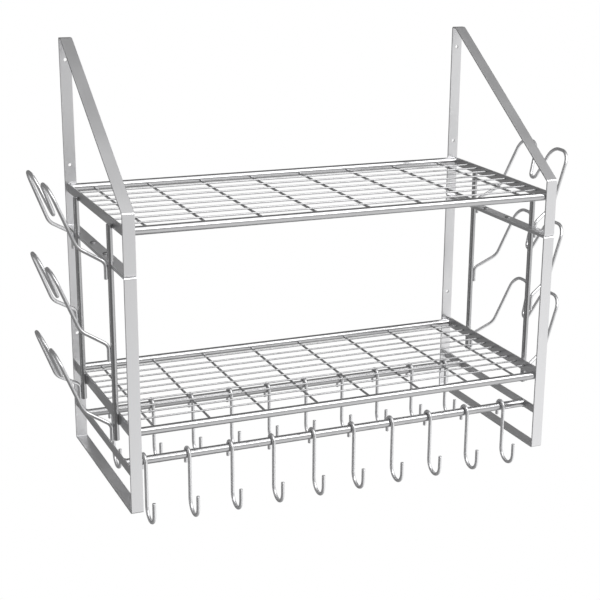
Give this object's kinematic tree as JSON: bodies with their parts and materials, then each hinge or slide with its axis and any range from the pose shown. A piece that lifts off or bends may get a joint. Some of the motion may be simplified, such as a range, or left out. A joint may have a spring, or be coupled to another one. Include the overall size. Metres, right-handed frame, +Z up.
{
  "type": "wall mounted pot rack",
  "caption": "Wall mounted steel pot rack with two wire shelves between strap brackets, hook rails with swinging S-hooks below and bent wire hooks at each side.",
  "frame": {"origin": "middle of the four upper wall holes, on the wall plane", "axes": "+X to the right as seen from the room, +Y into the wall, +Z up"},
  "size_m": [0.9362, 0.358, 0.7445],
  "materials": {
    "strap_steel": "satin silver, fine grain along the strap",
    "plate_steel": "satin silver",
    "tube_steel": "bright satin silver",
    "cross_wire_steel": "satin silver",
    "long_wire_steel": "satin silver",
    "rod_steel": "satin silver",
    "side_hook_steel": "bright satin silver",
    "s_hook_steel": "bright satin silver",
    "fastener_steel": "bright zinc"
  },
  "bodies": {
    "rack": {"upper_bracket_left": "strap_steel", "lower_bracket_left": "strap_steel", "upper_bracket_right": "strap_steel", "lower_bracket_right": "strap_steel", "bracket_bolts": "fastener_steel", "upper_shelf_front_tube": "tube_steel", "upper_shelf_rear_tube": "tube_steel", "upper_shelf_cross_wires": "cross_wire_steel", "upper_shelf_long_wires": "long_wire_steel", "upper_shelf_left_end_plate": "plate_steel", "upper_shelf_right_end_plate": "plate_steel", "lower_shelf_front_tube": "tube_steel", "lower_shelf_rear_tube": "tube_steel", "lower_shelf_cross_wires": "cross_wire_steel", "lower_shelf_long_wires": "long_wire_steel", "lower_shelf_left_end_plate": "plate_steel", "lower_shelf_right_end_plate": "plate_steel", "front_hook_rail": "tube_steel", "rear_hook_rail": "tube_steel", "rail_carrier_left": "plate_steel", "rail_carrier_right": "plate_steel", "front_rod_left": "rod_steel", "rear_rod_left": "rod_steel", "front_rod_right": "rod_steel", "rear_rod_right": "rod_steel", "side_hook_left_1": "side_hook_steel", "side_hook_left_2": "side_hook_steel", "side_hook_left_3": "side_hook_steel", "side_hook_right_1": "side_hook_steel", "side_hook_right_2": "side_hook_steel", "side_hook_right_3": "side_hook_steel"},
    "s_hook_front_1": {"s_hook_front_1": "s_hook_steel"},
    "s_hook_front_2": {"s_hook_front_2": "s_hook_steel"},
    "s_hook_front_3": {"s_hook_front_3": "s_hook_steel"},
    "s_hook_front_4": {"s_hook_front_4": "s_hook_steel"},
    "s_hook_front_5": {"s_hook_front_5": "s_hook_steel"},
    "s_hook_front_6": {"s_hook_front_6": "s_hook_steel"},
    "s_hook_front_7": {"s_hook_front_7": "s_hook_steel"},
    "s_hook_front_8": {"s_hook_front_8": "s_hook_steel"},
    "s_hook_front_9": {"s_hook_front_9": "s_hook_steel"},
    "s_hook_front_10": {"s_hook_front_10": "s_hook_steel"},
    "s_hook_rear_1": {"s_hook_rear_1": "s_hook_steel"},
    "s_hook_rear_2": {"s_hook_rear_2": "s_hook_steel"},
    "s_hook_rear_3": {"s_hook_rear_3": "s_hook_steel"},
    "s_hook_rear_4": {"s_hook_rear_4": "s_hook_steel"},
    "s_hook_rear_5": {"s_hook_rear_5": "s_hook_steel"},
    "s_hook_rear_6": {"s_hook_rear_6": "s_hook_steel"},
    "s_hook_rear_7": {"s_hook_rear_7": "s_hook_steel"},
    "s_hook_rear_8": {"s_hook_rear_8": "s_hook_steel"},
    "s_hook_rear_9": {"s_hook_rear_9": "s_hook_steel"},
    "s_hook_rear_10": {"s_hook_rear_10": "s_hook_steel"}
  },
  "joints": [
    {"name": "s_hook_front_1_swing", "type": "hinge", "parent": "rack", "child": "s_hook_front_1", "pos_m": [-0.341, -0.3, -0.5205], "axis": [1, 0, 0], "range_deg": [-75, 60]},
    {"name": "s_hook_front_2_swing", "type": "hinge", "parent": "rack", "child": "s_hook_front_2", "pos_m": [-0.267, -0.3, -0.5205], "axis": [1, 0, 0], "range_deg": [-75, 60]},
    {"name": "s_hook_front_3_swing", "type": "hinge", "parent": "rack", "child": "s_hook_front_3", "pos_m": [-0.193, -0.3, -0.5205], "axis": [1, 0, 0], "range_deg": [-75, 60]},
    {"name": "s_hook_front_4_swing", "type": "hinge", "parent": "rack", "child": "s_hook_front_4", "pos_m": [-0.119, -0.3, -0.5205], "axis": [1, 0, 0], "range_deg": [-75, 60]},
    {"name": "s_hook_front_5_swing", "type": "hinge", "parent": "rack", "child": "s_hook_front_5", "pos_m": [-0.045, -0.3, -0.5205], "axis": [1, 0, 0], "range_deg": [-75, 60]},
    {"name": "s_hook_front_6_swing", "type": "hinge", "parent": "rack", "child": "s_hook_front_6", "pos_m": [0.029, -0.3, -0.5205], "axis": [1, 0, 0], "range_deg": [-75, 60]},
    {"name": "s_hook_front_7_swing", "type": "hinge", "parent": "rack", "child": "s_hook_front_7", "pos_m": [0.103, -0.3, -0.5205], "axis": [1, 0, 0], "range_deg": [-75, 60]},
    {"name": "s_hook_front_8_swing", "type": "hinge", "parent": "rack", "child": "s_hook_front_8", "pos_m": [0.177, -0.3, -0.5205], "axis": [1, 0, 0], "range_deg": [-75, 60]},
    {"name": "s_hook_front_9_swing", "type": "hinge", "parent": "rack", "child": "s_hook_front_9", "pos_m": [0.251, -0.3, -0.5205], "axis": [1, 0, 0], "range_deg": [-75, 60]},
    {"name": "s_hook_front_10_swing", "type": "hinge", "parent": "rack", "child": "s_hook_front_10", "pos_m": [0.325, -0.3, -0.5205], "axis": [1, 0, 0], "range_deg": [-75, 60]},
    {"name": "s_hook_rear_1_swing", "type": "hinge", "parent": "rack", "child": "s_hook_rear_1", "pos_m": [-0.329, -0.058, -0.5205], "axis": [1, 0, 0], "range_deg": [-75, 45]},
    {"name": "s_hook_rear_2_swing", "type": "hinge", "parent": "rack", "child": "s_hook_rear_2", "pos_m": [-0.255, -0.058, -0.5205], "axis": [1, 0, 0], "range_deg": [-75, 45]},
    {"name": "s_hook_rear_3_swing", "type": "hinge", "parent": "rack", "child": "s_hook_rear_3", "pos_m": [-0.181, -0.058, -0.5205], "axis": [1, 0, 0], "range_deg": [-75, 45]},
    {"name": "s_hook_rear_4_swing", "type": "hinge", "parent": "rack", "child": "s_hook_rear_4", "pos_m": [-0.107, -0.058, -0.5205], "axis": [1, 0, 0], "range_deg": [-75, 45]},
    {"name": "s_hook_rear_5_swing", "type": "hinge", "parent": "rack", "child": "s_hook_rear_5", "pos_m": [-0.033, -0.058, -0.5205], "axis": [1, 0, 0], "range_deg": [-75, 45]},
    {"name": "s_hook_rear_6_swing", "type": "hinge", "parent": "rack", "child": "s_hook_rear_6", "pos_m": [0.041, -0.058, -0.5205], "axis": [1, 0, 0], "range_deg": [-75, 45]},
    {"name": "s_hook_rear_7_swing", "type": "hinge", "parent": "rack", "child": "s_hook_rear_7", "pos_m": [0.115, -0.058, -0.5205], "axis": [1, 0, 0], "range_deg": [-75, 45]},
    {"name": "s_hook_rear_8_swing", "type": "hinge", "parent": "rack", "child": "s_hook_rear_8", "pos_m": [0.189, -0.058, -0.5205], "axis": [1, 0, 0], "range_deg": [-75, 45]},
    {"name": "s_hook_rear_9_swing", "type": "hinge", "parent": "rack", "child": "s_hook_rear_9", "pos_m": [0.263, -0.058, -0.5205], "axis": [1, 0, 0], "range_deg": [-75, 45]},
    {"name": "s_hook_rear_10_swing", "type": "hinge", "parent": "rack", "child": "s_hook_rear_10", "pos_m": [0.337, -0.058, -0.5205], "axis": [1, 0, 0], "range_deg": [-75, 45]}
  ]
}
